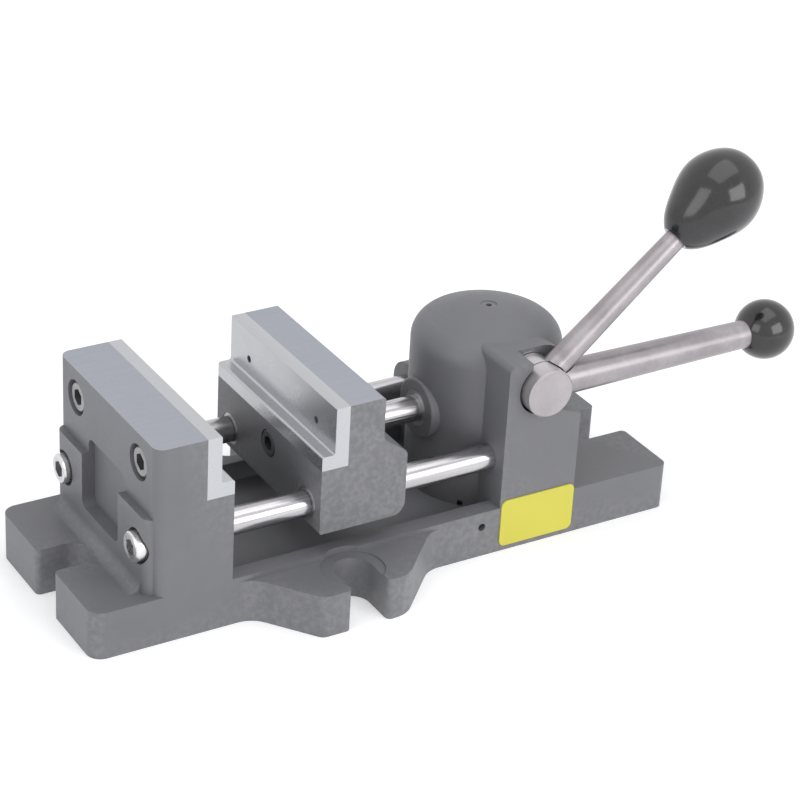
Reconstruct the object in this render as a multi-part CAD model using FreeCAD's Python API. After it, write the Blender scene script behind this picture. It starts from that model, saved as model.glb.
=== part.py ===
import FreeCAD, Part

import math
import os

from FreeCAD import Vector

# Quick-acting bench vise: a body casting with a fixed jaw, a jaw that slides on two rods,
# a round ram held by a tilting dog, a clamping lever and a release lever.
# The origin is on the underside, on the centre line, level with the two side slots.
# X runs from the fixed jaw to the levers, Z is up, and the levers are on the -Y side.

# Jaws
jaw_width = 101.6
jaw_top_z = 99.2
jaw_opening = 57.0
fixed_back_x = -94.0
fixed_top_depth = 31.7
step_plate_height = 30.5
step_plate_thickness = 7.0
toe_reach = 6.5
toe_height = 7.2
toe_chamfer = 1.2
plate_edge_r = 0.5
moving_top_depth = 25.3
moving_foot_depth = 44.8
moving_bottom_z = 35.5
shoulder_top_z = 77.6
shoulder_foot_z = 68.5
foot_corner_r = 6.5
shoulder_r = 4.0
jaw_edge_r = 1.2
plate_screw_y = 32.5
plate_screw_z = 84.7
plate_screw_r = 4.0
plate_screw_head_r = 7.2
plate_screw_head_height = 8.0
plate_screw_grip = 5.2
plate_counterbore_r = 8.6
plate_counterbore_depth = 9.0
plate_pilot_r = 1.8

# Base
base_height = 24.0
base_front_x = -124.5
base_rear_x = 184.0
base_half_width = 50.8
front_corner_r = 7.0
rear_corner_r = 4.0
front_slot_width = 19.0
front_slot_end_x = -101.5
rear_slot_width = 26.0
rear_slot_end_x = 152.0
slot_mouth_r = 2.5
channel_half_width = 42.0
channel_floor_z = 14.0
drain_r = 2.0
drain_x = 77.0

# Side ears with open slots
ear_height = 21.5
ear_reach_y = 79.0
ear_front_x = -45.6
ear_front_corner_x = -24.0
ear_rear_corner_x = 20.0
ear_rear_x = 48.0
ear_root_r = 14.0
ear_corner_r = 5.0
ear_rear_corner_r = 15.0
side_slot_mouth_r = 2.5
side_slot_width = 19.0
side_slot_end_y = 53.0
spot_face_r = 15.0
spot_face_z = 20.8

# Fixed jaw back
pad_height_z = 63.0
pad_stand_out = 3.5
pad_half_width = 47.5
pad_inner_y = 19.0
recess_floor_x = -91.0
recess_low_z = 36.0
recess_high_z = 71.0
recess_corner_r = 4.0
back_corner_r = 5.0
foot_fillet_r = 6.0

# Guide rods
rod_r = 6.35
rod_y = 38.0
rod_z = 46.0
rod_front_x = -85.0
rod_rear_x = 112.0
rod_screw_r = 4.0
rod_screw_head_r = 7.2
rod_screw_head_height = 8.0
rod_screw_grip = 16.0
rod_counterbore_r = 8.6
rod_counterbore_depth = 5.0
rod_bush_wall = 1.5
rod_bush_length = 14.0

# Ram
ram_r = 6.35
ram_z = 57.5
ram_rear_x = 144.0
ram_rear_chamfer = 1.2
ram_wall = 8.0
ram_screw_r = 4.0
ram_screw_head_r = 6.5
ram_screw_head_height = 5.0
ram_screw_grip = 14.0
ram_exit_gap = 0.7
ram_bush_wall = 2.6
ram_boss_r = 15.0
ram_boss_stand_out = 1.5
ram_boss_edge_r = 1.2

# Housing
turret_x = 106.0
turret_r = 36.5
turret_crown_z = 105.0
turret_shoulder_z = 98.8
turret_shoulder_r = 27.5
turret_wall_top_z = 86.0
crown_bulge_share = 0.75
bend_out_share = 0.70
bend_up_share = 0.66
cavity_r = 30.0
cavity_top_z = 92.0
block_front_x = 86.5
block_rear_x = 128.5
block_top_z = 58.0
block_shoulder_r = 11.0
column_front_x = 86.5
column_top_z = 98.5
column_edge_r = 3.0
column_rear_r = 16.0
column_inner_y = -20.0

# Lever shaft
shaft_x = 106.0
shaft_z = 84.0
shaft_r = 6.5
eccentric_r = 8.6
eccentric_throw = 4.0
eccentric_rest_deg = -80.0
eccentric_half_width = 7.5
far_boss_r = 10.7
far_boss_inner_y = 20.0
far_boss_outer_y = 30.5
far_bush_r = 8.5
far_bush_outer_y = 31.0
ring_r = 9.0
ring_thickness = 1.2
ring_groove_depth = 0.9
ring_opening = 5.0
near_bush_r = 12.8
near_bush_inner_y = -28.0
pocket_floor_y = -36.5
pocket_r = 13.2
pocket_front_x = 99.2
pocket_slope_deg = 20.0
pocket_slope_drop = 9.8

# Clamping lever with ball knob
hub_r = 12.0
hub_chamfer = 0.8
arm_y = -45.5
clamp_hub_near_y = -57.4
clamp_hub_far_y = -47.0
clamp_hub_wall = 3.0
clamp_arm_root_r = 8.4
clamp_arm_tip_r = 6.9
clamp_ball_at = 133.0
ball_r = 14.8
ball_seat_depth = 1.8
knob_stud_r = 4.0
knob_stud_length = 12.0
hub_pin_r = 1.8
hub_pin_half_length = 11.4

# Release lever with egg knob
release_deg = 40.3
release_hub_near_y = -46.4
release_hub_far_y = -37.2
release_arm_root_r = 6.4
release_arm_tip_r = 5.3
egg_start_at = 94.0
egg_end_at = 146.0
egg_r = 20.5
egg_neck_r = 7.0
egg_low_at_share = 0.27
egg_low_share = 0.80
egg_wide_at_share = 0.58
egg_high_at_share = 0.87
egg_high_share = 0.71
egg_start_along_share = 0.6
egg_start_out_share = 0.8
hub_screw_r = 2.0
root_clear_r = 12.6

# Release sleeve
sleeve_r = 9.5
sleeve_inner_y = -14.0
nose_outer_y = -24.0
nose_r = 3.0
nose_at = 9.6
nose_deg = 192.0

# Locking dog
dog_thickness = 12.0
dog_low_z = 27.0
dog_waist_z = 68.0
dog_high_z = 90.0
dog_half_width = 12.0
dog_arm_half_width = 8.0
dog_foot_r = 5.0
dog_head_r = 3.0
dog_pin_z = 34.0
dog_pin_r = 3.5
dog_pin_near_y = -36.0
dog_bore_gap = 0.6
ear_block_outer_y = -24.0
ear_block_low_z = 65.0
ear_block_high_z = 72.2
ear_block_rear_x = 104.0
spring_x = 100.2
spring_y = -18.8
spring_r = 3.6
spring_wire_r = 0.8
spring_turns = 13

# Covers and small pieces
cover_r = 40.0
cover_thickness = 5.0
cover_set_back = 0.6
cover_screw_r = 2.0
cover_screw_head_r = 3.8
cover_screw_head_height = 2.2
cover_screw_length = 11.0
cover_screw_at = 35.0
top_plug_r = 4.0
top_plug_length = 6.0
top_plug_set_back = 0.5
top_plug_socket_r = 1.6
top_hole_r = 1.8
label_front_x = 87.2
label_rear_x = 128.3
label_low_z = 2.8
label_high_z = 27.6
label_thickness = 0.6
label_corner_r = 3.0

# Fits
run_gap = 0.05
seat_gap = 0.02
face_gap = 0.3
socket_depth_share = 0.5
socket_width_share = 0.58
head_chamfer_share = 0.1
beyond = 1.0
barely = 0.01
tiny = 1e-6

# Places that follow from the sizes above
half_jaw = jaw_width / 2
fixed_grip_x = fixed_back_x + fixed_top_depth
fixed_wall_x = fixed_grip_x - step_plate_thickness
fixed_foot_x = fixed_grip_x + toe_reach
moving_grip_x = fixed_grip_x + jaw_opening
moving_wall_x = moving_grip_x + step_plate_thickness
moving_front_x = moving_grip_x - toe_reach
moving_back_x = moving_wall_x + moving_top_depth - step_plate_thickness
moving_rear_x = moving_front_x + moving_foot_depth
ledge_z = jaw_top_z - step_plate_height
pad_x = fixed_back_x - pad_stand_out
ram_front_x = moving_front_x + ram_wall
turret_front_x = turret_x - turret_r
turret_rear_x = turret_x + turret_r
boss_face_x = turret_front_x - ram_boss_stand_out
eccentric_turn = math.radians(eccentric_rest_deg)
eccentric_x = shaft_x + eccentric_throw * math.cos(eccentric_turn)
eccentric_z = shaft_z + eccentric_throw * math.sin(eccentric_turn)
dog_back_x = eccentric_x - eccentric_r - face_gap
dog_front_x = dog_back_x - dog_thickness
dog_pin_x = (dog_front_x + dog_back_x) / 2
cover_top_z = cover_set_back + cover_thickness

along_x = Vector(1, 0, 0)
along_y = Vector(0, 1, 0)
along_z = Vector(0, 0, 1)


# Basic shapes
def box(x0, x1, y0, y1, z0, z1):
    return Part.makeBox(x1 - x0, y1 - y0, z1 - z0, Vector(x0, y0, z0))


def rod_x(x0, x1, y, z, r):
    return Part.makeCylinder(r, x1 - x0, Vector(x0, y, z), along_x)


def rod_y_axis(y0, y1, x, z, r):
    return Part.makeCylinder(r, y1 - y0, Vector(x, y0, z), along_y)


def rod_z_axis(z0, z1, x, y, r):
    return Part.makeCylinder(r, z1 - z0, Vector(x, y, z0), along_z)


# A closed outline whose corners are (a, b, radius); a zero radius leaves the corner sharp.
def rounded_face(corners, place):
    count = len(corners)
    starts = []
    ends = []
    middles = []
    for i in range(count):
        a, b, r = corners[i]
        here = Vector(a, b, 0)
        before = Vector(corners[i - 1][0], corners[i - 1][1], 0) - here
        after = Vector(corners[(i + 1) % count][0], corners[(i + 1) % count][1], 0) - here
        before.normalize()
        after.normalize()
        if r <= 0:
            starts.append(here)
            ends.append(here)
            middles.append(None)
            continue
        half = before.getAngle(after) / 2
        reach = r / math.tan(half)
        bisector = before + after
        bisector.normalize()
        centre = here + bisector * (r / math.sin(half))
        starts.append(here + before * reach)
        ends.append(here + after * reach)
        middles.append(centre - bisector * r)
    edges = []
    for i in range(count):
        if middles[i] is not None:
            arc = Part.Arc(place(starts[i]), place(middles[i]), place(ends[i]))
            edges.append(arc.toShape())
        following = starts[(i + 1) % count]
        if (following - ends[i]).Length > tiny:
            edges.append(Part.makeLine(place(ends[i]), place(following)))
    return Part.Face(Part.Wire(edges))


def plan_block(corners, z0, z1):
    face = rounded_face(corners, lambda p: Vector(p.x, p.y, z0))
    return face.extrude(Vector(0, 0, z1 - z0))


def side_block(corners, y0, y1):
    face = rounded_face(corners, lambda p: Vector(p.x, y0, p.y))
    return face.extrude(Vector(0, y1 - y0, 0))


def end_block(corners, x0, x1):
    face = rounded_face(corners, lambda p: Vector(x0, p.x, p.y))
    return face.extrude(Vector(x1 - x0, 0, 0))


def joined(shapes):
    whole = shapes[0].multiFuse(shapes[1:])
    return whole.removeSplitter()


# A socket-head screw whose axis is a line from the head's seat into the work.
def cap_screw(seat, direction, shank_r, length, head_r, head_height):
    way = Vector(direction)
    way.normalize()
    back = way * -head_height
    shank = Part.makeCylinder(shank_r, length, seat, way)
    head = Part.makeCylinder(head_r, head_height, seat + back, way)
    rim = [e for e in head.Edges if e.Curve.TypeId == "Part::GeomCircle"]
    rim = [e for e in rim if (e.Curve.Center - (seat + back)).Length < tiny]
    head = head.makeChamfer(head_r * head_chamfer_share, rim)
    socket = hex_prism(seat + back, way, head_r * socket_width_share,
                       head_height * socket_depth_share)
    return joined([head, shank]).cut(socket)


def hex_prism(start, way, r, depth):
    side = way.cross(along_y) if abs(way.y) < 0.9 else way.cross(along_x)
    side.normalize()
    up = way.cross(side)
    corners = []
    for i in range(6):
        turn = math.radians(60 * i)
        corners.append(start + side * (r * math.cos(turn)) + up * (r * math.sin(turn)))
    corners.append(corners[0])
    return Part.Face(Part.makePolygon(corners)).extrude(way * depth)


# Body casting
def base_plate():
    corners = [
        (base_front_x, -base_half_width, front_corner_r),
        (base_rear_x, -base_half_width, rear_corner_r),
        (base_rear_x, base_half_width, rear_corner_r),
        (base_front_x, base_half_width, front_corner_r),
    ]
    return plan_block(corners, 0, base_height)


def side_ear(side):
    corners = [
        (ear_front_x - ear_root_r, side * channel_half_width, 0),
        (ear_front_x - ear_root_r, side * base_half_width, 0),
        (ear_front_x, side * base_half_width, ear_root_r),
        (ear_front_corner_x, side * ear_reach_y, ear_corner_r),
        (ear_rear_corner_x, side * ear_reach_y, ear_rear_corner_r),
        (ear_rear_x, side * base_half_width, ear_root_r),
        (ear_rear_x + ear_root_r, side * base_half_width, 0),
        (ear_rear_x + ear_root_r, side * channel_half_width, 0),
    ]
    return plan_block(corners, 0, ear_height)


# A slot open at one end of the base, with rounded mouth corners
def end_slot(end_x, edge_x, width):
    half = width / 2
    way = 1 if edge_x > end_x else -1
    past_x = edge_x + way * beyond
    wide = half + slot_mouth_r + beyond
    corners = [
        (end_x, -half, half - barely),
        (edge_x, -half, slot_mouth_r),
        (edge_x, -wide, 0),
        (past_x, -wide, 0),
        (past_x, wide, 0),
        (edge_x, wide, 0),
        (edge_x, half, slot_mouth_r),
        (end_x, half, half - barely),
    ]
    return plan_block(corners, -beyond, base_height + beyond)


def side_slot(side):
    half = side_slot_width / 2
    wide = half + side_slot_mouth_r + beyond
    end_y = side * side_slot_end_y
    edge_y = side * ear_reach_y
    past_y = side * (ear_reach_y + beyond)
    way_through = plan_block([
        (-half, end_y, half - barely),
        (-half, edge_y, side_slot_mouth_r),
        (-wide, edge_y, 0),
        (-wide, past_y, 0),
        (wide, past_y, 0),
        (wide, edge_y, 0),
        (half, edge_y, side_slot_mouth_r),
        (half, end_y, half - barely),
    ], -beyond, base_height + beyond)
    centre_y = side * (side_slot_end_y + half)
    return [way_through, rod_z_axis(spot_face_z, base_height + beyond, 0, centre_y, spot_face_r)]


def jaw_plan(back_x, front_x, half_width, z0, z1):
    return plan_block([
        (back_x, -half_width, back_corner_r),
        (front_x, -half_width, 0),
        (front_x, half_width, 0),
        (back_x, half_width, back_corner_r),
    ], z0, z1)


def fixed_jaw_block():
    inside_z = base_height / 2
    lower = jaw_plan(fixed_back_x, fixed_foot_x, half_jaw, base_height, ledge_z)
    stem = jaw_plan(pad_x, fixed_foot_x, channel_half_width, inside_z, base_height + beyond)
    upper = jaw_plan(fixed_back_x, fixed_wall_x, half_jaw, ledge_z, jaw_top_z)
    pads = jaw_plan(pad_x, recess_floor_x, pad_half_width, base_height, pad_height_z)
    foot = box(pad_x - foot_fillet_r, pad_x + back_corner_r, -pad_half_width + back_corner_r,
               pad_half_width - back_corner_r, inside_z, base_height + foot_fillet_r)
    hollow = rod_y_axis(-half_jaw, half_jaw, pad_x - foot_fillet_r,
                        base_height + foot_fillet_r, foot_fillet_r)
    return [lower, stem, upper, pads, foot.cut(hollow)]


def fixed_jaw_recess():
    return end_block([
        (-pad_inner_y, recess_low_z, recess_corner_r),
        (pad_inner_y, recess_low_z, recess_corner_r),
        (pad_inner_y, recess_high_z, recess_corner_r),
        (-pad_inner_y, recess_high_z, recess_corner_r),
    ], pad_x - beyond, recess_floor_x)


def rod_places():
    return [(-rod_y, rod_z), (rod_y, rod_z)]


def plate_screw_places():
    return [(-plate_screw_y, plate_screw_z), (plate_screw_y, plate_screw_z)]


# The round housing is turned from a side outline with a crowned top.
def turret():
    def at(r, z):
        return Vector(turret_x + r, 0, z)
    low_z = base_height / 2
    top = at(0, turret_crown_z)
    shoulder = at(turret_shoulder_r, turret_shoulder_z)
    wall_top = at(turret_r, turret_wall_top_z)
    crown_z = turret_shoulder_z + (turret_crown_z - turret_shoulder_z) * crown_bulge_share
    bend_r = turret_shoulder_r + (turret_r - turret_shoulder_r) * bend_out_share
    bend_z = turret_wall_top_z + (turret_shoulder_z - turret_wall_top_z) * bend_up_share
    edges = [
        Part.Arc(top, at(turret_shoulder_r / 2, crown_z), shoulder).toShape(),
        Part.Arc(shoulder, at(bend_r, bend_z), wall_top).toShape(),
        Part.makeLine(wall_top, at(turret_r, low_z)),
        Part.makeLine(at(turret_r, low_z), at(0, low_z)),
        Part.makeLine(at(0, low_z), top),
    ]
    return Part.Face(Part.Wire(edges)).revolve(Vector(turret_x, 0, 0), along_z, 360)


def ram_boss():
    boss = rod_x(boss_face_x, turret_x, 0, ram_z, ram_boss_r)
    front_rim = [e for e in boss.Edges if abs(e.BoundBox.XMax - boss_face_x) < tiny]
    return boss.makeFillet(ram_boss_edge_r, front_rim)


def lower_block():
    return end_block([
        (-base_half_width, base_height / 2, 0),
        (base_half_width, base_height / 2, 0),
        (base_half_width, block_top_z, block_shoulder_r),
        (-base_half_width, block_top_z, block_shoulder_r),
    ], block_front_x, block_rear_x)


def near_column():
    return side_block([
        (column_front_x, base_height, 0),
        (block_rear_x, base_height, 0),
        (block_rear_x, column_top_z, column_rear_r),
        (column_front_x, column_top_z, column_edge_r),
    ], -base_half_width, column_inner_y)


def far_boss():
    return rod_y_axis(far_boss_inner_y, far_boss_outer_y, shaft_x, shaft_z, far_boss_r)


# Room for the lever hubs, and for the clamping lever when it is pressed down
def lever_pocket():
    rear_x = block_rear_x + beyond
    drop = (rear_x - shaft_x) * math.tan(math.radians(pocket_slope_deg))
    sweep = side_block([
        (shaft_x, shaft_z - pocket_slope_drop, 0),
        (rear_x, shaft_z - pocket_slope_drop - drop, 0),
        (rear_x, turret_crown_z, 0),
        (pocket_front_x, turret_crown_z, 0),
        (pocket_front_x, shaft_z, 0),
        (shaft_x, shaft_z, 0),
    ], -base_half_width - beyond, pocket_floor_y)
    round_part = rod_y_axis(-base_half_width - beyond, pocket_floor_y, shaft_x, shaft_z, pocket_r)
    return [sweep, round_part]


def cavity():
    room = rod_z_axis(-beyond, cavity_top_z, turret_x, 0, cavity_r)
    cover_seat = rod_z_axis(-beyond, cover_top_z, turret_x, 0, cover_r + seat_gap)
    return [room, cover_seat]


def cover_screw_places():
    places = []
    for i in range(4):
        turn = math.radians(45 + 90 * i)
        places.append((turret_x + cover_screw_at * math.cos(turn), cover_screw_at * math.sin(turn)))
    return places


def rod_holes():
    holes = []
    for y, z in rod_places():
        holes.append(rod_x(rod_front_x, rod_rear_x + face_gap, y, z, rod_r + seat_gap))
        holes.append(rod_x(pad_x - beyond, rod_front_x + beyond, y, z, rod_screw_r + seat_gap))
        holes.append(rod_x(pad_x - beyond, pad_x + rod_counterbore_depth, y, z,
                           rod_counterbore_r))
    return holes


def fixed_plate_holes():
    holes = []
    for y, z in plate_screw_places():
        holes.append(rod_x(fixed_back_x - beyond, fixed_wall_x + beyond, y, z,
                           plate_screw_r + seat_gap))
        holes.append(rod_x(fixed_back_x - beyond, fixed_back_x + plate_counterbore_depth, y, z,
                           plate_counterbore_r))
    return holes


def housing_holes():
    holes = [
        rod_x(boss_face_x - beyond, turret_x, 0, ram_z, ram_r + ram_bush_wall + seat_gap),
        rod_x(turret_x, turret_rear_x + beyond, 0, ram_z, ram_r + ram_exit_gap),
        rod_y_axis(pocket_floor_y - beyond, 0, shaft_x, shaft_z, near_bush_r + seat_gap),
        rod_y_axis(0, far_bush_outer_y, shaft_x, shaft_z, far_bush_r + seat_gap),
        rod_y_axis(dog_pin_near_y, base_half_width + beyond, dog_pin_x, dog_pin_z,
                   dog_pin_r + seat_gap),
        rod_z_axis(turret_crown_z - top_plug_length - top_plug_set_back, turret_crown_z + beyond,
                   turret_x, 0, top_plug_r + seat_gap),
        rod_z_axis(cavity_top_z - beyond, turret_crown_z, turret_x, 0, top_hole_r),
        rod_y_axis(-base_half_width - beyond, -channel_half_width + beyond, drain_x,
                   channel_floor_z + drain_r, drain_r),
    ]
    for x, y in cover_screw_places():
        holes.append(rod_z_axis(0, cover_screw_length + cover_top_z, x, y,
                                cover_screw_r + seat_gap))
    return holes


def channel():
    return box(fixed_foot_x, block_front_x, -channel_half_width, channel_half_width,
               channel_floor_z, base_height + beyond)


def body_casting():
    floor = joined([base_plate(), side_ear(-1), side_ear(1)]).cut(channel())
    upright = fixed_jaw_block() + [turret(), ram_boss(), lower_block(), near_column()]
    whole = joined([floor] + upright)
    for tool in cavity():
        whole = whole.cut(tool)
    whole = joined([whole, far_boss()])
    cuts = [
        end_slot(front_slot_end_x, base_front_x, front_slot_width),
        end_slot(rear_slot_end_x, base_rear_x, rear_slot_width),
        fixed_jaw_recess(),
    ]
    cuts += side_slot(-1) + side_slot(1) + lever_pocket()
    cuts += rod_holes() + fixed_plate_holes() + housing_holes()
    for tool in cuts:
        whole = whole.cut(tool)
    return whole.removeSplitter()


# Jaw plates: an upright plate with a stepped toe along its foot
def step_plate(grip_x, side):
    wall_x = grip_x - side * (step_plate_thickness - seat_gap)
    toe_x = grip_x + side * toe_reach
    low = ledge_z + seat_gap
    toe_top = ledge_z + toe_height
    plate = side_block([
        (wall_x, low, 0),
        (toe_x, low, 0),
        (toe_x, toe_top, toe_chamfer),
        (grip_x, toe_top, toe_chamfer),
        (grip_x, jaw_top_z, plate_edge_r),
        (wall_x, jaw_top_z, 0),
    ], -half_jaw, half_jaw)
    blind_x = wall_x + side * (plate_screw_grip + face_gap)
    for y, z in plate_screw_places():
        low_x = min(wall_x, blind_x)
        high_x = max(wall_x, blind_x)
        plate = plate.cut(rod_x(low_x, high_x, y, z, plate_screw_r + seat_gap))
        low_x = min(wall_x, grip_x)
        high_x = max(wall_x, grip_x)
        plate = plate.cut(rod_x(low_x, high_x, y, z, plate_pilot_r))
    return plate


def plate_screws(seat_x, wall_x, way):
    screws = []
    for y, z in plate_screw_places():
        length = abs(wall_x - seat_x) + plate_screw_grip
        screws.append(cap_screw(Vector(seat_x, y, z), way, plate_screw_r, length,
                                plate_screw_head_r, plate_screw_head_height))
    return Part.makeCompound(screws)


def fixed_plate_screws():
    return plate_screws(fixed_back_x + plate_counterbore_depth, fixed_wall_x, along_x)


def moving_plate_screws():
    return plate_screws(moving_back_x - plate_counterbore_depth, moving_wall_x, -along_x)


def guide_rod(y, z):
    rod = rod_x(rod_front_x, rod_rear_x, y, z, rod_r)
    return rod.cut(rod_x(rod_front_x, rod_front_x + rod_screw_grip + face_gap, y, z,
                         rod_screw_r + seat_gap))


def guide_rod_screws():
    seat_x = pad_x + rod_counterbore_depth
    length = rod_front_x + rod_screw_grip - seat_x
    screws = []
    for y, z in rod_places():
        screws.append(cap_screw(Vector(seat_x, y, z), along_x, rod_screw_r, length,
                                rod_screw_head_r, rod_screw_head_height))
    return Part.makeCompound(screws)


# Sliding jaw
def moving_jaw():
    block = side_block([
        (moving_front_x, moving_bottom_z, jaw_edge_r),
        (moving_rear_x, moving_bottom_z, foot_corner_r),
        (moving_rear_x, shoulder_foot_z, shoulder_r),
        (moving_back_x, shoulder_top_z, shoulder_r),
        (moving_back_x, jaw_top_z, jaw_edge_r),
        (moving_wall_x, jaw_top_z, 0),
        (moving_wall_x, ledge_z, 0),
        (moving_front_x, ledge_z, 0),
    ], -half_jaw, half_jaw)
    front = moving_front_x - beyond
    rear = moving_rear_x + beyond
    holes = []
    for y, z in rod_places():
        holes.append(rod_x(front, rear, y, z, rod_r + rod_bush_wall + seat_gap))
    holes.append(rod_x(ram_front_x, rear, 0, ram_z, ram_r + seat_gap))
    holes.append(rod_x(front, ram_front_x + beyond, 0, ram_z, ram_screw_r + seat_gap))
    holes.append(rod_x(front, moving_front_x + ram_screw_head_height, 0, ram_z,
                       ram_screw_head_r + face_gap))
    for y, z in plate_screw_places():
        holes.append(rod_x(moving_wall_x - beyond, moving_back_x + beyond, y, z,
                           plate_screw_r + seat_gap))
        holes.append(rod_x(moving_back_x - plate_counterbore_depth, moving_rear_x, y, z,
                           plate_counterbore_r))
    for hole in holes:
        block = block.cut(hole)
    return block


def guide_bushes():
    bushes = []
    outer = rod_r + rod_bush_wall
    for y, z in rod_places():
        for x0 in (moving_front_x + face_gap, moving_rear_x - face_gap - rod_bush_length):
            x1 = x0 + rod_bush_length
            bush = rod_x(x0, x1, y, z, outer)
            bushes.append(bush.cut(rod_x(x0, x1, y, z, rod_r + run_gap)))
    return Part.makeCompound(bushes)


def ram():
    bar = rod_x(ram_front_x, ram_rear_x, 0, ram_z, ram_r)
    rear_rim = [e for e in bar.Edges if abs(e.BoundBox.XMin - ram_rear_x) < tiny]
    bar = bar.makeChamfer(ram_rear_chamfer, rear_rim)
    return bar.cut(rod_x(ram_front_x, ram_front_x + ram_screw_grip + face_gap, 0, ram_z,
                         ram_screw_r + seat_gap))


def ram_screw():
    seat_x = moving_front_x + ram_screw_head_height
    length = ram_front_x + ram_screw_grip - seat_x
    return cap_screw(Vector(seat_x, 0, ram_z), along_x, ram_screw_r, length,
                     ram_screw_head_r, ram_screw_head_height)


def ram_bush():
    outer = ram_r + ram_bush_wall
    inner_x = turret_x - cavity_r
    tube = rod_x(boss_face_x, inner_x, 0, ram_z, outer)
    return tube.cut(rod_x(boss_face_x, inner_x, 0, ram_z, ram_r + run_gap))


# The lever shaft carries the eccentric that pushes the locking dog.
def eccentric_shaft():
    near_y = clamp_hub_near_y + clamp_hub_wall
    far_y = far_bush_outer_y - face_gap
    bar = rod_y_axis(near_y, far_y, shaft_x, shaft_z, shaft_r)
    lobe = rod_y_axis(-eccentric_half_width, eccentric_half_width, eccentric_x, eccentric_z,
                      eccentric_r)
    bar = joined([bar, lobe])
    groove_y = sleeve_inner_y + face_gap - seat_gap
    groove_end_y = groove_y + ring_thickness + seat_gap * 2
    groove = rod_y_axis(groove_y, groove_end_y, shaft_x, shaft_z, shaft_r + beyond)
    core = rod_y_axis(groove_y, groove_end_y, shaft_x, shaft_z, shaft_r - ring_groove_depth)
    return bar.cut(groove.cut(core)).cut(hub_pin(hub_pin_r + seat_gap))


def retaining_ring():
    y0 = sleeve_inner_y + face_gap
    y1 = y0 + ring_thickness
    ring = rod_y_axis(y0, y1, shaft_x, shaft_z, ring_r)
    hole = rod_y_axis(y0, y1, shaft_x, shaft_z, shaft_r - ring_groove_depth + seat_gap)
    half = ring_opening / 2
    opening = box(shaft_x - half, shaft_x + half, y0, y1, shaft_z, shaft_z + ring_r + beyond)
    return ring.cut(hole).cut(opening)


def far_shaft_bush():
    tube = rod_y_axis(far_boss_inner_y, far_bush_outer_y, shaft_x, shaft_z, far_bush_r)
    return tube.cut(rod_y_axis(far_boss_inner_y, far_bush_outer_y, shaft_x, shaft_z,
                               shaft_r + run_gap))


def near_shaft_bush():
    tube = rod_y_axis(pocket_floor_y, near_bush_inner_y, shaft_x, shaft_z, near_bush_r)
    return tube.cut(rod_y_axis(pocket_floor_y, near_bush_inner_y, shaft_x, shaft_z,
                               sleeve_r + run_gap))


# Both levers lie in planes across the shaft; a lever point is given by its distance and angle.
def lever_point(distance, degrees, y):
    turn = math.radians(degrees)
    return Vector(shaft_x + distance * math.cos(turn), y, shaft_z + distance * math.sin(turn))


def lever_way(degrees):
    turn = math.radians(degrees)
    return Vector(math.cos(turn), 0, math.sin(turn))


def hub_disc(y0, y1):
    hub = rod_y_axis(y0, y1, shaft_x, shaft_z, hub_r)
    front_rim = [e for e in hub.Edges if abs(e.BoundBox.YMax - y0) < tiny]
    return hub.makeChamfer(hub_chamfer, front_rim)


def hub_pin(r):
    y = (clamp_hub_near_y + clamp_hub_far_y) / 2
    start = lever_point(hub_pin_half_length, -90, y)
    return Part.makeCylinder(r, hub_pin_half_length * 2, start, along_z)


def clamping_lever():
    start = lever_point(0, 0, arm_y)
    end_at = clamp_ball_at - ball_r + ball_seat_depth
    arm = Part.makeCone(clamp_arm_root_r, clamp_arm_tip_r, end_at, start, along_x)
    stud = Part.makeCylinder(knob_stud_r, knob_stud_length, lever_point(end_at, 0, arm_y),
                             along_x)
    clear_y = release_hub_near_y - face_gap
    clear = rod_y_axis(clear_y, 0, shaft_x, shaft_z, root_clear_r)
    other = Part.makeCylinder(release_arm_root_r + face_gap, clamp_ball_at,
                              lever_point(0, release_deg, arm_y), lever_way(release_deg))
    arm = joined([arm, stud]).cut(clear).cut(other)
    arm = max(arm.Solids, key=lambda s: s.Volume)
    lever = joined([hub_disc(clamp_hub_near_y, clamp_hub_far_y), arm])
    bore = rod_y_axis(clamp_hub_near_y + clamp_hub_wall, clamp_hub_far_y + beyond, shaft_x,
                      shaft_z, shaft_r + seat_gap)
    return lever.cut(bore).cut(hub_pin(hub_pin_r + seat_gap))


def ball_knob():
    ball = Part.makeSphere(ball_r, lever_point(clamp_ball_at, 0, arm_y))
    face_at = clamp_ball_at - ball_r + ball_seat_depth
    start = lever_point(face_at, 0, arm_y)
    flat = Part.makeCylinder(ball_r, ball_r, lever_point(face_at - ball_r, 0, arm_y), along_x)
    socket = Part.makeCylinder(knob_stud_r + seat_gap, knob_stud_length + face_gap, start,
                               along_x)
    return ball.cut(flat).cut(socket)


def release_lever():
    way = lever_way(release_deg)
    arm = Part.makeCone(release_arm_root_r, release_arm_tip_r, egg_start_at,
                        lever_point(0, release_deg, arm_y), way)
    stud = Part.makeCylinder(knob_stud_r, knob_stud_length,
                             lever_point(egg_start_at, release_deg, arm_y), way)
    clear = rod_y_axis(-half_jaw * 2, release_hub_near_y, shaft_x, shaft_z, root_clear_r)
    other = rod_y_axis(release_hub_near_y, release_hub_far_y, shaft_x, shaft_z, hub_r)
    arm = joined([arm, stud]).cut(clear)
    arm = max(arm.Solids, key=lambda s: s.Volume)
    lever = joined([other, arm])
    bore = rod_y_axis(release_hub_near_y - beyond, release_hub_far_y + beyond, shaft_x,
                      shaft_z, sleeve_r + seat_gap)
    back = rod_y_axis(release_hub_far_y, 0, shaft_x, shaft_z, root_clear_r)
    return lever.cut(bore).cut(back).cut(hub_screw(hub_screw_r + seat_gap))


# The set screw that holds the release lever on its sleeve sits square to the arm.
def hub_screw(r):
    middle_y = (release_hub_near_y + release_hub_far_y) / 2
    return Part.makeCylinder(r, hub_r - sleeve_r + beyond,
                             lever_point(sleeve_r - beyond, release_deg + 90, middle_y),
                             lever_way(release_deg + 90))


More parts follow.
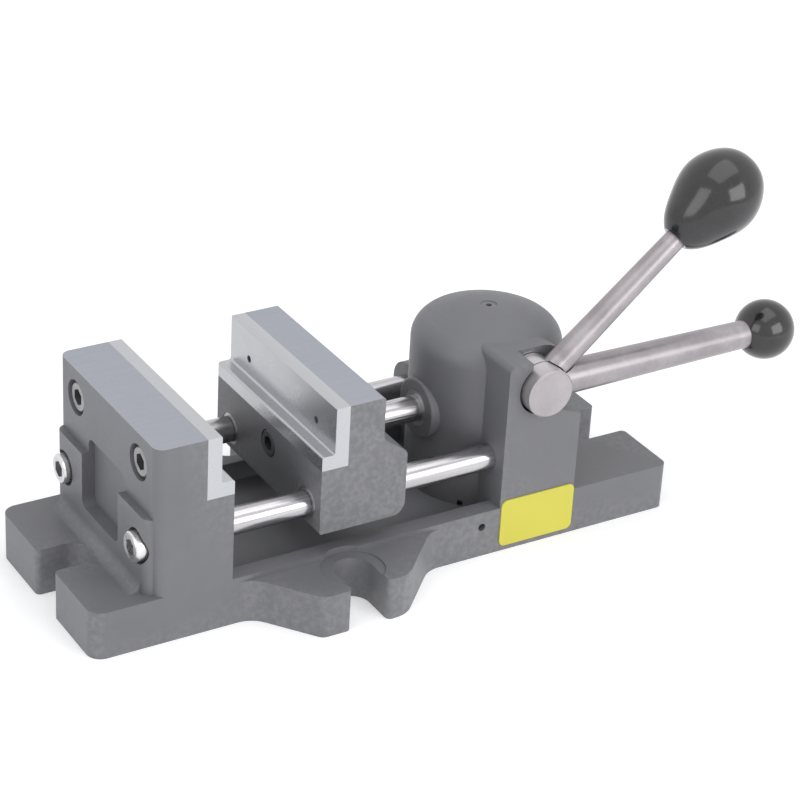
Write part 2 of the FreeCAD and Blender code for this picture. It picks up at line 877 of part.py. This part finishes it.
def release_hub_screw():
    screw = hub_screw(hub_screw_r)
    middle_y = (release_hub_near_y + release_hub_far_y) / 2
    key = hex_prism(lever_point(hub_r, release_deg + 90, middle_y),
                    -lever_way(release_deg + 90), hub_screw_r / 2, beyond * 2)
    return screw.cut(key)


def egg_knob():
    way = lever_way(release_deg)
    across = lever_way(release_deg + 90)
    start = lever_point(egg_start_at, release_deg, arm_y)
    length = egg_end_at - egg_start_at
    neck = start + across * egg_neck_r
    low_at = length * egg_low_at_share
    high_at = length * egg_high_at_share
    flank_low = start + way * low_at + across * (egg_r * egg_low_share)
    widest = start + way * (length * egg_wide_at_share) + across * egg_r
    flank_high = start + way * high_at + across * (egg_r * egg_high_share)
    top = start + way * length
    flank = Part.BSplineCurve()
    start_way = way * egg_start_along_share + across * egg_start_out_share
    flank.interpolate([neck, flank_low, widest, flank_high, top], PeriodicFlag=False,
                      InitialTangent=start_way, FinalTangent=-across)
    outline = Part.Wire([Part.makeLine(start, neck), flank.toShape(), Part.makeLine(top, start)])
    knob = Part.Face(outline).revolve(start, way, 360)
    socket = Part.makeCylinder(knob_stud_r + seat_gap, knob_stud_length + face_gap, start, way)
    return knob.cut(socket)


# The release sleeve turns on the shaft; its nose presses the dog's side ear down.
def release_sleeve():
    tube = rod_y_axis(release_hub_near_y, sleeve_inner_y, shaft_x, shaft_z, sleeve_r)
    tip = lever_point(nose_at, nose_deg, nose_outer_y)
    nose = Part.makeCylinder(nose_r, sleeve_inner_y - nose_outer_y, tip, along_y)
    bore = rod_y_axis(release_hub_near_y, sleeve_inner_y, shaft_x, shaft_z, shaft_r + run_gap)
    return joined([tube, nose]).cut(bore).cut(hub_screw(hub_screw_r + seat_gap))


# Locking dog: a plate round the ram, pivoted at its foot, with an ear at one side
def locking_dog():
    plate = end_block([
        (-dog_half_width, dog_low_z, dog_foot_r),
        (dog_half_width, dog_low_z, dog_foot_r),
        (dog_half_width, dog_waist_z, dog_head_r),
        (dog_arm_half_width, dog_waist_z, dog_head_r),
        (dog_arm_half_width, dog_high_z, dog_head_r),
        (-dog_arm_half_width, dog_high_z, dog_head_r),
        (-dog_arm_half_width, dog_waist_z, dog_head_r),
        (-dog_half_width, dog_waist_z, dog_head_r),
    ], dog_front_x, dog_back_x)
    ear = side_block([
        (dog_pin_x, ear_block_low_z, 0),
        (ear_block_rear_x, ear_block_low_z, 1),
        (ear_block_rear_x, ear_block_high_z, 2),
        (dog_pin_x, ear_block_high_z, 0),
    ], ear_block_outer_y, -dog_arm_half_width + beyond)
    ear = ear.cut(box(dog_back_x, ear_block_rear_x + beyond, sleeve_inner_y,
                      0, ear_block_low_z - beyond, ear_block_high_z + beyond))
    ram_bore = rod_x(dog_front_x, dog_back_x, 0, ram_z, ram_r + dog_bore_gap)
    pivot = rod_y_axis(-dog_half_width, dog_half_width, dog_pin_x, dog_pin_z,
                       dog_pin_r + run_gap)
    return joined([plate, ear]).cut(ram_bore).cut(pivot)


def dog_pin():
    return rod_y_axis(dog_pin_near_y, base_half_width - face_gap, dog_pin_x, dog_pin_z, dog_pin_r)


# The spring under the dog's ear is one wire along a helix.
def dog_spring():
    z0 = cover_top_z + spring_wire_r + face_gap / 2
    z1 = ear_block_low_z - spring_wire_r - face_gap / 2
    pitch = (z1 - z0) / spring_turns
    helix = Part.Wire(Part.makeHelix(pitch, z1 - z0, spring_r))
    slope = Vector(0, 2 * math.pi * spring_r, pitch)
    ring = Part.Wire(Part.Circle(Vector(spring_r, 0, 0), slope, spring_wire_r).toShape())
    coil = helix.makePipeShell([ring], True, True)
    coil.translate(Vector(spring_x, spring_y, z0))
    return coil


# Bottom cover, plug and label
def bottom_cover():
    plate = rod_z_axis(cover_set_back, cover_top_z, turret_x, 0, cover_r)
    for x, y in cover_screw_places():
        plate = plate.cut(rod_z_axis(0, cover_top_z, x, y, cover_screw_r + seat_gap))
        plate = plate.cut(rod_z_axis(0, cover_set_back + cover_screw_head_height, x, y,
                                     cover_screw_head_r + seat_gap))
    return plate


def cover_screws():
    screws = []
    seat_z = cover_set_back + cover_screw_head_height
    for x, y in cover_screw_places():
        screws.append(cap_screw(Vector(x, y, seat_z), along_z, cover_screw_r, cover_screw_length,
                                cover_screw_head_r, cover_screw_head_height))
    return Part.makeCompound(screws)


def top_plug():
    top = turret_crown_z - top_plug_set_back
    plug = rod_z_axis(top - top_plug_length, top, turret_x, 0, top_plug_r)
    return plug.cut(hex_prism(Vector(turret_x, 0, top), -along_z, top_plug_socket_r,
                              top_plug_length / 2))


def label_plate():
    return side_block([
        (label_front_x, label_low_z, label_corner_r),
        (label_rear_x, label_low_z, label_corner_r),
        (label_rear_x, label_high_z, label_corner_r),
        (label_front_x, label_high_z, label_corner_r),
    ], -base_half_width - label_thickness, -base_half_width)


nodes = {
    "body_casting": body_casting,
    "fixed_jaw_plate": lambda: step_plate(fixed_grip_x, 1),
    "fixed_plate_screws": fixed_plate_screws,
    "guide_rod_near": lambda: guide_rod(-rod_y, rod_z),
    "guide_rod_far": lambda: guide_rod(rod_y, rod_z),
    "guide_rod_screws": guide_rod_screws,
    "ram_bush": ram_bush,
    "near_shaft_bush": near_shaft_bush,
    "far_shaft_bush": far_shaft_bush,
    "dog_pivot_pin": dog_pin,
    "dog_spring": dog_spring,
    "bottom_cover": bottom_cover,
    "bottom_cover_screws": cover_screws,
    "top_plug": top_plug,
    "label_plate": label_plate,
    "movable_jaw": moving_jaw,
    "movable_jaw_plate": lambda: step_plate(moving_grip_x, -1),
    "movable_plate_screws": moving_plate_screws,
    "jaw_guide_bushes": guide_bushes,
    "ram": ram,
    "ram_screw": ram_screw,
    "locking_dog": locking_dog,
    "clamping_lever": clamping_lever,
    "ball_knob": ball_knob,
    "eccentric_shaft": eccentric_shaft,
    "clamping_hub_pin": lambda: hub_pin(hub_pin_r),
    "shaft_retaining_ring": retaining_ring,
    "positioning_lever": release_lever,
    "egg_knob": egg_knob,
    "positioning_sleeve": release_sleeve,
    "positioning_hub_screw": release_hub_screw,
}

os.makedirs("parts", exist_ok=True)
for name, make in nodes.items():
    shape = make()
    shape.exportStep("parts/" + name + ".step")
    print(name, len(shape.Solids), "solid, volume", round(shape.Volume, 1), shape.isValid())
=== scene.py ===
import bpy, bmesh, math, random
from mathutils import Matrix, Vector

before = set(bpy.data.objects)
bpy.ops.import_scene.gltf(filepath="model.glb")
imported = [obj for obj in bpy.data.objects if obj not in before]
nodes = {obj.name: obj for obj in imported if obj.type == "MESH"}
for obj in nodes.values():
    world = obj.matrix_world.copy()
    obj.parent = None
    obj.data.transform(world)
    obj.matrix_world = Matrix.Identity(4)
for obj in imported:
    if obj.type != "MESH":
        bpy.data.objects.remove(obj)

random.seed(11)
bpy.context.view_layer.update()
print("frame loaded:", len(nodes), "nodes")


# small helpers for node trees
def newTree(name):
    mat = bpy.data.materials.new(name)
    mat.use_nodes = True
    tree = mat.node_tree
    shader = tree.nodes["Principled BSDF"]
    return mat, tree, shader


def addNode(tree, kind, **settings):
    node = tree.nodes.new(kind)
    for key, value in settings.items():
        setattr(node, key, value)
    return node


def objectPlace(tree, stretch=(1, 1, 1)):
    coords = addNode(tree, "ShaderNodeTexCoord")
    mapping = addNode(tree, "ShaderNodeMapping")
    mapping.inputs["Scale"].default_value = stretch
    tree.links.new(coords.outputs["Object"], mapping.inputs["Vector"])
    return mapping.outputs["Vector"]


# a noise is given as (scale, detail, roughness)
def noiseOf(tree, place, noise):
    node = addNode(tree, "ShaderNodeTexNoise")
    for name, value in zip(("Scale", "Detail", "Roughness"), noise):
        node.inputs[name].default_value = value
    tree.links.new(place, node.inputs["Vector"])
    return node.outputs["Fac"]


def rampOf(tree, fac, stops):
    ramp = addNode(tree, "ShaderNodeValToRGB")
    band = ramp.color_ramp
    while len(band.elements) < len(stops):
        band.elements.new(0.5)
    for element, (at, colour) in zip(band.elements, stops):
        element.position = at
        element.color = (*colour, 1)
    tree.links.new(fac, ramp.inputs["Fac"])
    return ramp.outputs["Color"]


def spread(tree, fac, low, high, fromLow=0.3, fromHigh=0.7):
    node = addNode(tree, "ShaderNodeMapRange")
    ends = (("From Min", fromLow), ("From Max", fromHigh), ("To Min", low), ("To Max", high))
    for name, value in ends:
        node.inputs[name].default_value = value
    tree.links.new(fac, node.inputs["Value"])
    return node.outputs["Result"]


def mathOf(tree, how, a, b):
    node = addNode(tree, "ShaderNodeMath", operation=how)
    for socket, value in zip(node.inputs, (a, b)):
        if isinstance(value, (int, float)):
            socket.default_value = value
        else:
            tree.links.new(value, socket)
    return node.outputs[0]


# sockets 0, 6 and 7 of a colour mix are its factor and its two colours
def mixOf(tree, fac, a, b, how="MIX"):
    node = addNode(tree, "ShaderNodeMix", data_type="RGBA", blend_type=how)
    for socket, value in ((node.inputs[0], fac), (node.inputs[6], a), (node.inputs[7], b)):
        if isinstance(value, (int, float)):
            socket.default_value = value
        elif isinstance(value, tuple):
            socket.default_value = (*value, 1)
        else:
            tree.links.new(value, socket)
    return node.outputs[2]


# a bump is given as (strength, distance in metres)
def bumpOf(tree, height, bump, under=None):
    node = addNode(tree, "ShaderNodeBump")
    node.inputs["Strength"].default_value = bump[0]
    node.inputs["Distance"].default_value = bump[1]
    tree.links.new(height, node.inputs["Height"])
    if under is not None:
        tree.links.new(under, node.inputs["Normal"])
    return node.outputs["Normal"]


# bright where the surface is sharper than the low end of the range
def edgeWear(tree, reach):
    geometry = addNode(tree, "ShaderNodeNewGeometry")
    return spread(tree, geometry.outputs["Pointiness"], 0.0, 1.0, *reach)


# castings: body and moving jaw
casting = {
    "paint": (0.160, 0.161, 0.173), "paintDark": (0.150, 0.151, 0.162),
    "paintPale": (0.170, 0.171, 0.184), "paintStops": (0.30, 0.5, 0.72),
    "speck": [(0.35, (0.955, 0.955, 0.96)), (0.62, (1.0, 1.0, 1.0))], "speckShare": 0.75,
    "edge": (0.27, 0.27, 0.285), "wearReach": (0.57, 0.70), "wearBreak": (0.42, 0.62),
    "ground": (0.335, 0.352, 0.395), "groundPale": (0.385, 0.402, 0.447), "groundMetal": 0.45,
    "cloudShare": 0.35,
    "topLow": 0.0986, "topHigh": 0.0998, "flatFrom": 0.96,  # where the jaw tops are ground
    "bodyGroundTo": -0.05, "jawGroundTo": 1.0,  # the ground area ends at this x
    "broad": (26, 5, 0.6), "fine": (340, 6, 0.65), "grain": (1500, 3, 0.6), "lump": (120, 4, 0.55),
    "lines": (24, 5, 0.7), "lineStretch": (1, 60, 1),
    "rough": (0.42, 0.54),
    "grainBump": (0.10, 0.0003), "lumpBump": (0.09, 0.0006), "lineBump": (0.05, 0.0002),
}


# 1 on the flat jaw tops that are ground bare, 0 elsewhere
def groundMask(tree, groundTo):
    coords = addNode(tree, "ShaderNodeTexCoord")
    spot = addNode(tree, "ShaderNodeSeparateXYZ")
    tree.links.new(coords.outputs["Object"], spot.inputs[0])
    facing = addNode(tree, "ShaderNodeSeparateXYZ")
    tree.links.new(coords.outputs["Normal"], facing.inputs[0])
    over = mathOf(tree, "GREATER_THAN", spot.outputs["Z"], casting["topLow"])
    under = mathOf(tree, "LESS_THAN", spot.outputs["Z"], casting["topHigh"])
    flat = mathOf(tree, "GREATER_THAN", facing.outputs["Z"], casting["flatFrom"])
    ahead = mathOf(tree, "LESS_THAN", spot.outputs["X"], groundTo)
    mask = mathOf(tree, "MULTIPLY", mathOf(tree, "MULTIPLY", over, under), flat)
    return mathOf(tree, "MULTIPLY", mask, ahead)


def castingFinish(name, groundTo):
    # grey enamel over sand-cast iron; the jaw tops are ground bare
    mat, tree, shader = newTree(name)
    place = objectPlace(tree)
    broad = noiseOf(tree, place, casting["broad"])
    fine = noiseOf(tree, place, casting["fine"])
    tones = (casting["paintDark"], casting["paint"], casting["paintPale"])
    paint = rampOf(tree, broad, list(zip(casting["paintStops"], tones)))
    speck = rampOf(tree, fine, casting["speck"])
    paint = mixOf(tree, casting["speckShare"], paint, speck, "MULTIPLY")
    breaks = spread(tree, fine, 0.0, 1.0, *casting["wearBreak"])
    wear = mathOf(tree, "MULTIPLY", edgeWear(tree, casting["wearReach"]), breaks)
    paint = mixOf(tree, wear, paint, casting["edge"])

    ground = groundMask(tree, groundTo)
    lines = noiseOf(tree, objectPlace(tree, casting["lineStretch"]), casting["lines"])
    metal = rampOf(tree, lines, [(0.3, casting["ground"]), (0.7, casting["groundPale"])])
    cloud = spread(tree, broad, 0.0, casting["cloudShare"])
    metal = mixOf(tree, cloud, metal, casting["ground"])

    tree.links.new(mixOf(tree, ground, paint, metal), shader.inputs["Base Color"])
    shine = mathOf(tree, "MULTIPLY", ground, casting["groundMetal"])
    tree.links.new(shine, shader.inputs["Metallic"])
    tree.links.new(spread(tree, fine, *casting["rough"]), shader.inputs["Roughness"])
    skin = bumpOf(tree, noiseOf(tree, place, casting["grain"]), casting["grainBump"])
    skin = bumpOf(tree, noiseOf(tree, place, casting["lump"]), casting["lumpBump"], skin)
    tree.links.new(bumpOf(tree, lines, casting["lineBump"], skin), shader.inputs["Normal"])
    return mat


# jaw plates
plates = {
    "low": (0.30, 0.312, 0.342), "high": (0.40, 0.41, 0.445), "stain": (0.24, 0.24, 0.255),
    "edge": (0.52, 0.53, 0.55), "wearReach": (0.53, 0.62), "stainReach": (0.45, 0.75),
    "stainShare": 0.4, "metal": 0.85, "rough": (0.22, 0.36),
    "lines": (18, 6, 0.72), "lineStretch": (70, 1.5, 70), "cloud": (34, 4, 0.6),
    "lineBump": (0.12, 0.0002),
}


def groundFinish():
    # surface-ground hardened steel, with the grinding lines running along the jaw
    mat, tree, shader = newTree("groundSteel")
    lines = noiseOf(tree, objectPlace(tree, plates["lineStretch"]), plates["lines"])
    cloud = noiseOf(tree, objectPlace(tree), plates["cloud"])
    colour = rampOf(tree, lines, [(0.28, plates["low"]), (0.72, plates["high"])])
    stain = spread(tree, cloud, 0.0, plates["stainShare"], *plates["stainReach"])
    colour = mixOf(tree, stain, colour, plates["stain"])
    colour = mixOf(tree, edgeWear(tree, plates["wearReach"]), colour, plates["edge"])
    tree.links.new(colour, shader.inputs["Base Color"])
    shader.inputs["Metallic"].default_value = plates["metal"]
    tree.links.new(spread(tree, cloud, *plates["rough"]), shader.inputs["Roughness"])
    tree.links.new(bumpOf(tree, lines, plates["lineBump"]), shader.inputs["Normal"])
    return mat


# guide rods, ram and lever shaft
rods = {
    "low": (0.44, 0.43, 0.45), "high": (0.62, 0.605, 0.625), "ringDark": (0.86, 0.86, 0.88),
    "ringShare": 0.35, "metal": 1.0, "rough": (0.16, 0.27),
    "rings": (2600, 2, 0.5), "ringStretch": (1, 0.02, 0.02),
    "rubs": (12, 5, 0.65), "rubStretch": (1.5, 90, 90),
    "ringBump": (0.05, 0.0001),
}


def rodFinish():
    # centreless-ground bar: fine rings round it, a few long rub marks
    mat, tree, shader = newTree("brightBar")
    rings = noiseOf(tree, objectPlace(tree, rods["ringStretch"]), rods["rings"])
    rubs = noiseOf(tree, objectPlace(tree, rods["rubStretch"]), rods["rubs"])
    colour = rampOf(tree, rubs, [(0.32, rods["low"]), (0.66, rods["high"])])
    ringTone = rampOf(tree, rings, [(0.3, rods["ringDark"]), (0.7, (1, 1, 1))])
    colour = mixOf(tree, rods["ringShare"], colour, ringTone, "MULTIPLY")
    tree.links.new(colour, shader.inputs["Base Color"])
    shader.inputs["Metallic"].default_value = rods["metal"]
    tree.links.new(spread(tree, rubs, *rods["rough"]), shader.inputs["Roughness"])
    tree.links.new(bumpOf(tree, rings, rods["ringBump"]), shader.inputs["Normal"])
    return mat


# both levers with their hubs
levers = {
    "low": (0.29, 0.265, 0.28), "mid": (0.35, 0.322, 0.338), "high": (0.42, 0.392, 0.405),
    "fineDark": (0.9, 0.9, 0.9), "fineShare": 0.5,
    "edge": (0.58, 0.55, 0.565), "wearReach": (0.53, 0.63), "metal": 0.72, "rough": (0.26, 0.40),
    "cloud": (48, 5, 0.6), "fine": (620, 4, 0.6), "dent": (90, 3, 0.5),
    "fineBump": (0.08, 0.0002), "dentBump": (0.12, 0.0006),
}


def leverFinish():
    # satin nickel over forged steel, a little uneven from the forging
    mat, tree, shader = newTree("satinPlate")
    place = objectPlace(tree)
    cloud = noiseOf(tree, place, levers["cloud"])
    fine = noiseOf(tree, place, levers["fine"])
    tones = [(0.3, levers["low"]), (0.5, levers["mid"]), (0.72, levers["high"])]
    colour = rampOf(tree, cloud, tones)
    fineTone = rampOf(tree, fine, [(0.36, levers["fineDark"]), (0.6, (1, 1, 1))])
    colour = mixOf(tree, levers["fineShare"], colour, fineTone, "MULTIPLY")
    colour = mixOf(tree, edgeWear(tree, levers["wearReach"]), colour, levers["edge"])
    tree.links.new(colour, shader.inputs["Base Color"])
    shader.inputs["Metallic"].default_value = levers["metal"]
    tree.links.new(spread(tree, cloud, *levers["rough"]), shader.inputs["Roughness"])
    skin = bumpOf(tree, fine, levers["fineBump"])
    dent = noiseOf(tree, place, levers["dent"])
    tree.links.new(bumpOf(tree, dent, levers["dentBump"], skin), shader.inputs["Normal"])
    return mat


# screws, bushes, pins and what is hidden in the housing
screws = {
    "dark": {"name": "darkScrew", "low": (0.055, 0.055, 0.06), "high": (0.11, 0.11, 0.118),
             "metal": 0.75, "rough": 0.36},
    "bright": {"name": "brightScrew", "low": (0.42, 0.41, 0.42), "high": (0.62, 0.61, 0.62),
               "metal": 0.95, "rough": 0.20},
    "mid": {"name": "greyScrew", "low": (0.20, 0.198, 0.205), "high": (0.34, 0.335, 0.345),
            "metal": 0.85, "rough": 0.26},
    "bush": {"name": "steelBush", "low": (0.15, 0.148, 0.152), "high": (0.25, 0.246, 0.252),
             "metal": 0.85, "rough": 0.32},
}
screwSkin = {
    "cloud": (160, 5, 0.6), "fine": (1400, 3, 0.6), "wearReach": (0.53, 0.64),
    "edgeGain": 1.7, "edgeMost": 0.9, "roughSpan": 0.14, "fineBump": (0.10, 0.0002),
}


def screwFinish(kind):
    look = screws[kind]
    mat, tree, shader = newTree(look["name"])
    place = objectPlace(tree)
    cloud = noiseOf(tree, place, screwSkin["cloud"])
    fine = noiseOf(tree, place, screwSkin["fine"])
    colour = rampOf(tree, cloud, [(0.32, look["low"]), (0.7, look["high"])])
    edge = tuple(min(c * screwSkin["edgeGain"], screwSkin["edgeMost"]) for c in look["high"])
    colour = mixOf(tree, edgeWear(tree, screwSkin["wearReach"]), colour, edge)
    tree.links.new(colour, shader.inputs["Base Color"])
    shader.inputs["Metallic"].default_value = look["metal"]
    rough = spread(tree, cloud, look["rough"], look["rough"] + screwSkin["roughSpan"])
    tree.links.new(rough, shader.inputs["Roughness"])
    tree.links.new(bumpOf(tree, fine, screwSkin["fineBump"]), shader.inputs["Normal"])
    return mat


# ball knob and egg knob
knobs = {
    "deep": (0.010, 0.010, 0.011), "face": (0.022, 0.022, 0.024), "dust": (0.07, 0.07, 0.073),
    "dustShare": 0.4, "dustReach": (0.58, 0.74), "rough": (0.13, 0.30), "roughReach": (0.4, 0.75),
    "coat": 0.35, "coatRough": 0.08,
    "ripple": (95, 3, 0.5), "speckle": (900, 5, 0.7), "rippleBump": (0.05, 0.0006),
}


def knobFinish():
    # moulded thermoset: glossy black with a soft ripple and a little dust
    mat, tree, shader = newTree("blackKnob")
    place = objectPlace(tree)
    ripple = noiseOf(tree, place, knobs["ripple"])
    dust = noiseOf(tree, place, knobs["speckle"])
    colour = rampOf(tree, ripple, [(0.3, knobs["deep"]), (0.7, knobs["face"])])
    dusty = spread(tree, dust, 0.0, knobs["dustShare"], *knobs["dustReach"])
    colour = mixOf(tree, dusty, colour, knobs["dust"])
    tree.links.new(colour, shader.inputs["Base Color"])
    rough = spread(tree, dust, *knobs["rough"], *knobs["roughReach"])
    tree.links.new(rough, shader.inputs["Roughness"])
    shader.inputs["Coat Weight"].default_value = knobs["coat"]
    shader.inputs["Coat Roughness"].default_value = knobs["coatRough"]
    tree.links.new(bumpOf(tree, ripple, knobs["rippleBump"]), shader.inputs["Normal"])
    return mat


# label plate
label = {
    "field": (0.90, 0.85, 0.07), "pale": (0.94, 0.91, 0.16), "rim": (0.55, 0.50, 0.06),
    "fibreDark": (0.86, 0.86, 0.8), "fibreShare": 0.3, "wearReach": (0.53, 0.6),
    "rough": (0.34, 0.48), "cloud": (70, 4, 0.6), "fibre": (1800, 3, 0.6),
    "fibreBump": (0.06, 0.0001),
}


def labelFinish():
    # yellow film plate with a duller rim, left bare
    mat, tree, shader = newTree("labelFilm")
    place = objectPlace(tree)
    cloud = noiseOf(tree, place, label["cloud"])
    fibre = noiseOf(tree, place, label["fibre"])
    colour = rampOf(tree, cloud, [(0.3, label["field"]), (0.75, label["pale"])])
    fibreTone = rampOf(tree, fibre, [(0.35, label["fibreDark"]), (0.65, (1, 1, 1))])
    colour = mixOf(tree, label["fibreShare"], colour, fibreTone, "MULTIPLY")
    colour = mixOf(tree, edgeWear(tree, label["wearReach"]), colour, label["rim"])
    tree.links.new(colour, shader.inputs["Base Color"])
    tree.links.new(spread(tree, cloud, *label["rough"]), shader.inputs["Roughness"])
    tree.links.new(bumpOf(tree, fibre, label["fibreBump"]), shader.inputs["Normal"])
    return mat


finish = {
    "bodyCast": castingFinish("enamelBody", casting["bodyGroundTo"]),
    "jawCast": castingFinish("enamelJaw", casting["jawGroundTo"]),
    "ground": groundFinish(),
    "bar": rodFinish(),
    "lever": leverFinish(),
    "knob": knobFinish(),
    "label": labelFinish(),
}
for kind in screws:
    finish[kind] = screwFinish(kind)
print("finishes ready:", len(finish))


# the CAD nodes stay as they are, with a finish and softened edges
finishOf = {
    "body_casting": "bodyCast", "movable_jaw": "jawCast",
    "fixed_jaw_plate": "ground", "movable_jaw_plate": "ground",
    "guide_rod_near": "bar", "guide_rod_far": "bar", "ram": "bar",
    "guide_rod_screws": "bright", "fixed_plate_screws": "mid", "movable_plate_screws": "dark",
    "ram_screw": "dark", "ram_bush": "bush", "near_shaft_bush": "bush", "far_shaft_bush": "bush",
    "jaw_guide_bushes": "bush", "dog_pivot_pin": "dark", "dog_spring": "dark",
    "bottom_cover": "dark", "bottom_cover_screws": "dark", "top_plug": "bodyCast",
    "label_plate": "label", "locking_dog": "dark",
    "clamping_lever": "lever", "positioning_lever": "lever", "ball_knob": "knob",
    "egg_knob": "knob", "eccentric_shaft": "bar", "clamping_hub_pin": "dark",
    "shaft_retaining_ring": "dark", "positioning_sleeve": "dark", "positioning_hub_screw": "dark",
}
softEdge = {
    "segments": 3, "angle": 38,  # edges sharper than this many degrees are rounded
    "width": {
        "body_casting": 0.0011, "movable_jaw": 0.0009,
        "fixed_jaw_plate": 0.0003, "movable_jaw_plate": 0.0003,
        "clamping_lever": 0.0006, "positioning_lever": 0.0006,
        "label_plate": 0.00025, "bottom_cover": 0.0004, "guide_rod_screws": 0.0003,
        "fixed_plate_screws": 0.0003, "movable_plate_screws": 0.0003,
        "ram_screw": 0.0003, "ram_bush": 0.0004,
    },
}


def dressNode(name):
    obj = nodes[name]
    for slot in obj.material_slots:
        slot.link = "OBJECT"
        slot.material = finish[finishOf[name]]
    if name in softEdge["width"]:
        bevel = obj.modifiers.new("softEdge", "BEVEL")
        bevel.width = softEdge["width"][name]
        bevel.segments = softEdge["segments"]
        bevel.limit_method = "ANGLE"
        bevel.angle_limit = math.radians(softEdge["angle"])
        bevel.harden_normals = True


for name in finishOf:
    dressNode(name)
print("nodes dressed:", len(finishOf))


# camera at the photo's angle
shot = {
    "target": (0.05916, 0.0, 0.06375),
    "azimuth": -32.17, "elevation": 28.55, "roll": 3.31,
    "distance": 1.26366, "lens": 119.55, "sensor": 36, "farthest": 50,
}


def placeCamera():
    a, e, r = (math.radians(shot[k]) for k in ("azimuth", "elevation", "roll"))
    back = Vector((math.sin(a) * math.cos(e), -math.cos(a) * math.cos(e), math.sin(e)))
    side = Vector((math.cos(a), math.sin(a), 0))
    up = back.cross(side)
    right = side * math.cos(r) + up * math.sin(r)
    top = up * math.cos(r) - side * math.sin(r)
    data = bpy.data.cameras.new("photoCamera")
    data.lens = shot["lens"]
    data.sensor_width = shot["sensor"]
    data.sensor_fit = "HORIZONTAL"
    data.clip_end = shot["farthest"]
    cam = bpy.data.objects.new("photoCamera", data)
    bpy.context.scene.collection.objects.link(cam)
    turn = Matrix((right, top, back)).transposed().to_4x4()
    eye = Vector(shot["target"]) + back * shot["distance"]
    cam.matrix_world = Matrix.Translation(eye) @ turn
    bpy.context.scene.camera = cam


# floor, backdrop and lamps
studio = {
    "floorSize": 6.0, "floorCells": 8, "floorColour": (0.93, 0.93, 0.93),
    "floorDark": (0.91, 0.91, 0.91), "floorCloud": (3, 3, 0.5), "floorRough": 0.8,
    "floorGlow": 0.27, "backdrop": 1.0, "sky": (0.97, 0.98, 1.0), "skyStrength": 0.62,
}
lamps = {  # place, aimed at, size, watts
    "overhead": ((0.1, -0.2, 1.6), (0.05, 0, 0.05), (1.6, 1.2), 7),
    "nearSide": ((0.6, -1.5, 0.7), (0.05, 0, 0.05), (1.2, 0.9), 10),
    "frontFill": ((-1.5, -0.5, 0.8), (0.0, 0, 0.05), (1.0, 0.9), 5),
}


def layFloor():
    mesh = bpy.data.meshes.new("floorMesh")
    bm = bmesh.new()
    cells = studio["floorCells"]
    bmesh.ops.create_grid(bm, x_segments=cells, y_segments=cells, size=studio["floorSize"] / 2)
    bm.to_mesh(mesh)
    bm.free()
    floor = bpy.data.objects.new("floor", mesh)
    bpy.context.scene.collection.objects.link(floor)
    mat, tree, shader = newTree("paleFloor")
    cloud = noiseOf(tree, objectPlace(tree), studio["floorCloud"])
    tone = rampOf(tree, cloud, [(0.3, studio["floorDark"]), (0.7, studio["floorColour"])])
    tree.links.new(tone, shader.inputs["Base Color"])
    shader.inputs["Roughness"].default_value = studio["floorRough"]
    shader.inputs["Emission Color"].default_value = (1, 1, 1, 1)
    shader.inputs["Emission Strength"].default_value = studio["floorGlow"]
    mesh.materials.append(mat)


def softLamp(name, place, aim, size, power):
    data = bpy.data.lights.new(name, "AREA")
    data.shape = "RECTANGLE"
    data.size = size[0]
    data.size_y = size[1]
    data.energy = power
    lamp = bpy.data.objects.new(name, data)
    lamp.location = place
    lamp.rotation_euler = (Vector(aim) - Vector(place)).to_track_quat("-Z", "Y").to_euler()
    bpy.context.scene.collection.objects.link(lamp)


def hangBackdrop():
    # white to the camera and in reflections, a softer sky as light
    world = bpy.data.worlds.new("studio")
    bpy.context.scene.world = world
    world.use_nodes = True
    tree = world.node_tree
    tree.nodes.clear()
    path = addNode(tree, "ShaderNodeLightPath")
    seen = path.outputs["Is Camera Ray"]
    for ray in ("Is Transmission Ray", "Is Glossy Ray"):
        seen = mathOf(tree, "MAXIMUM", seen, path.outputs[ray])
    sky = addNode(tree, "ShaderNodeBackground")
    sky.inputs["Color"].default_value = (*studio["sky"], 1)
    sky.inputs["Strength"].default_value = studio["skyStrength"]
    white = addNode(tree, "ShaderNodeBackground")
    white.inputs["Color"].default_value = (1, 1, 1, 1)
    white.inputs["Strength"].default_value = studio["backdrop"]
    mix = addNode(tree, "ShaderNodeMixShader")
    out = addNode(tree, "ShaderNodeOutputWorld")
    tree.links.new(seen, mix.inputs[0])
    tree.links.new(sky.outputs[0], mix.inputs[1])
    tree.links.new(white.outputs[0], mix.inputs[2])
    tree.links.new(mix.outputs[0], out.inputs[0])


placeCamera()
layFloor()
hangBackdrop()
for name, settings in lamps.items():
    softLamp(name, *settings)
bpy.context.scene.view_settings.view_transform = "Standard"
print("studio ready")
